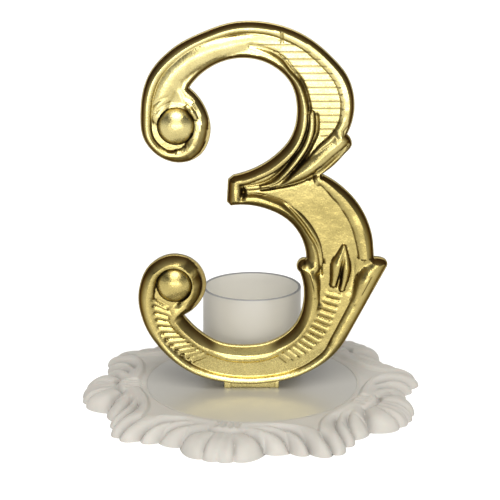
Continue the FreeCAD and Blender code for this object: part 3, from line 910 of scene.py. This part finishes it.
def bisque_finish():
    """Matt white, with painted shade: a little darker deep in the carving."""
    finish = Finish("white_bisque")
    painted_shade = finish.nodes.new("ShaderNodeAttribute")
    painted_shade.attribute_name = "painted_shade"
    mottle = finish.ramp(finish.noise(60.0), [(0.3, (0.36, 0.34, 0.305)), (0.7, (0.4, 0.38, 0.342))])
    # painted shade deep in the carving
    colour = finish.mix(finish.between(painted_shade.outputs["Fac"], 0, 1, 0, 0.5), mottle, (0.3, 0.285, 0.265))
    finish.link(colour, finish.surface.inputs["Base Color"])
    finish.set(Roughness=0.7, Subsurface_Weight=0.08, Subsurface_Scale=0.002)
    finish.bump([(finish.noise(220.0, 4.0), 0.0002), (finish.noise(2200.0), 0.00004)], 0.5)
    return finish.material


def gloss_finish():
    """Satin white that mirrors the numeral softly."""
    finish = Finish("white_gloss")
    mottle = finish.ramp(finish.noise(25.0), [(0.3, (0.32, 0.306, 0.27)), (0.7, (0.34, 0.326, 0.29))])
    finish.link(mottle, finish.surface.inputs["Base Color"])
    roughness = finish.between(finish.noise(400.0), 0.3, 0.7, 0.36, 0.4)
    finish.link(roughness, finish.surface.inputs["Roughness"])
    finish.set(IOR=2.1)
    return finish.material


def cup_finish():
    """Milky white that lets some light through, with painted light inside, where it is paler, and a painted
    shade line, grey, along its lip.
    """
    finish = Finish("white_cup")
    split = finish.nodes.new("ShaderNodeSeparateXYZ")
    finish.link(finish.place(), split.inputs["Vector"])
    mottle = finish.ramp(finish.noise(35.0), [(0.3, (0.55, 0.53, 0.48)), (0.7, (0.59, 0.57, 0.515))])
    lip = finish.between(split.outputs["Z"], 39.4 * MM, 39.8 * MM)
    from_axis = finish.node("ShaderNodeVectorMath")
    from_axis.operation = "DISTANCE"
    from_axis.inputs[1].default_value = (CUP_CENTRE[0] * MM, CUP_CENTRE[1] * MM, 0)
    flattened = finish.node("ShaderNodeCombineXYZ")
    finish.link(split.outputs["X"], flattened.inputs["X"])
    finish.link(split.outputs["Y"], flattened.inputs["Y"])
    finish.link(flattened.outputs["Vector"], from_axis.inputs[0])
    outside = finish.between(from_axis.outputs["Value"], 20.3 * MM, 20.7 * MM)
    # painted light: the inside of the cup is painted paler than its outside
    milky_and_painted_light = finish.mix(outside, (0.95, 0.93, 0.87), mottle)
    # painted shade: a grey line along the lip
    colour = finish.mix(lip, milky_and_painted_light, (0.3, 0.3, 0.3))
    finish.link(colour, finish.surface.inputs["Base Color"])
    finish.set(Roughness=0.28)
    finish.bump([(finish.noise(120.0, 2.0), 0.00005)], 0.3)
    through = finish.node("ShaderNodeBsdfTranslucent")
    finish.link(colour, through.inputs["Color"])
    both = finish.node("ShaderNodeMixShader", Fac=0.42)
    finish.link(finish.surface.outputs["BSDF"], both.inputs[1])
    finish.link(through.outputs["BSDF"], both.inputs[2])
    finish.link(both.outputs["Shader"], finish.nodes["Material Output"].inputs["Surface"])
    return finish.material


def floor_finish():
    """Plain white paper."""
    finish = Finish("studio_floor")
    finish.set(Base_Color=(0.95, 0.95, 0.95, 1), Roughness=0.9)
    return finish.material


# ---------------------------------------------------------------- pieces

relief_piece = make_relief()
place_piece(relief_piece, "numeral", "numeral_face", gold_finish("gold", True))

plate_piece = make_plate()
place_piece(plate_piece, "numeral", "numeral_back", gold_finish("gold_plate", False))

rim_piece = make_rim()
place_piece(rim_piece, "base", "floral_base", bisque_finish())

cup_piece = make_mesh("tealight_cup", *lathe(CUP_PROFILE, CUP_CENTRE), crease=50)
place_piece(cup_piece, "base", "candle_cup", cup_finish())

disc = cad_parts["centre_disc"]
disc.data.materials.clear()
disc.data.materials.append(gloss_finish())


# ---------------------------------------------------------------- floor, light and camera

FLOOR_REACH = 15
floor_corners = [(x * FLOOR_REACH, y * FLOOR_REACH, 0) for x, y in ((-1, -1), (1, -1), (1, 1), (-1, 1))]
floor_mesh = bpy.data.meshes.new("floor")
floor_mesh.from_pydata(floor_corners, [], [(0, 1, 2, 3)])
floor_mesh.materials.append(floor_finish())
floor = bpy.data.objects.new("floor", floor_mesh)
bpy.context.scene.collection.objects.link(floor)


def add_sun(name, azimuth, elevation, strength, width, colour=(1, 1, 1)):
    """Soft light from far away: azimuth 0 is the front and it grows towards +X."""
    lamp = bpy.data.lights.new(name, "SUN")
    lamp.energy = strength
    lamp.angle = math.radians(width)
    lamp.color = colour
    light = bpy.data.objects.new(name, lamp)
    turn, rise = math.radians(azimuth), math.radians(elevation)
    away = Vector((math.sin(turn) * math.cos(rise), -math.cos(turn) * math.cos(rise), math.sin(rise)))
    light.rotation_mode = "QUATERNION"
    light.rotation_quaternion = away.to_track_quat("Z", "Y")
    bpy.context.scene.collection.objects.link(light)


add_sun("key", 4, 52, 3.05, 44, (1.0, 0.99, 0.97))
add_sun("top", 180, 72, 1.1, 100)


def add_softbox(name, place, rise, width, height, energy):
    """A rectangular light in front of the numeral, turned up or down to face it."""
    lamp = bpy.data.lights.new(name, "AREA")
    lamp.shape = "RECTANGLE"
    lamp.size = width
    lamp.size_y = height
    lamp.energy = energy
    light = bpy.data.objects.new(name, lamp)
    light.location = place
    light.rotation_euler = (math.radians(90 - rise), 0, 0)
    light.visible_camera = False
    bpy.context.scene.collection.objects.link(light)


add_softbox("low_strip", (0.0, -1.15, 0.075), 0, 1.0, 0.13, 3.2)
add_softbox("front_box", (0.0, -1.1, 0.5), 22, 0.7, 0.6, 2.4)

# The room is bright near the horizon and darker overhead.
HORIZON_LIGHT = 1.05
OVERHEAD_LIGHT = 0.18
OVERHEAD_FROM = 0.4
world = bpy.data.worlds.new("studio")
world.use_nodes = True
sky = world.node_tree
direction = sky.nodes.new("ShaderNodeTexCoord")
upwards = sky.nodes.new("ShaderNodeSeparateXYZ")
sky.links.new(direction.outputs["Generated"], upwards.inputs["Vector"])
brightness = sky.nodes.new("ShaderNodeMapRange")
brightness.inputs["From Max"].default_value = OVERHEAD_FROM
brightness.inputs["To Min"].default_value = HORIZON_LIGHT
brightness.inputs["To Max"].default_value = OVERHEAD_LIGHT
sky.links.new(upwards.outputs["Z"], brightness.inputs["Value"])
sky.links.new(brightness.outputs["Result"], sky.nodes["Background"].inputs["Strength"])
sky.nodes["Background"].inputs["Color"].default_value = (0.97, 0.98, 1.0, 1)
bpy.context.scene.world = world
bpy.context.scene.view_settings.view_transform = "Standard"

# The camera stands straight in front and looks down a little.
CAMERA_PLACE = (0.0, -0.475, 0.192)
CAMERA_DOWN = 15.3
camera_data = bpy.data.cameras.new("camera")
camera_data.lens = 86.4
camera_data.sensor_width = 36.0
camera_data.shift_x = -0.004
camera = bpy.data.objects.new("camera", camera_data)
camera.location = CAMERA_PLACE
camera.rotation_euler = (math.radians(90 - CAMERA_DOWN), 0, 0)
bpy.context.scene.collection.objects.link(camera)
bpy.context.scene.camera = camera

bpy.context.view_layer.update()
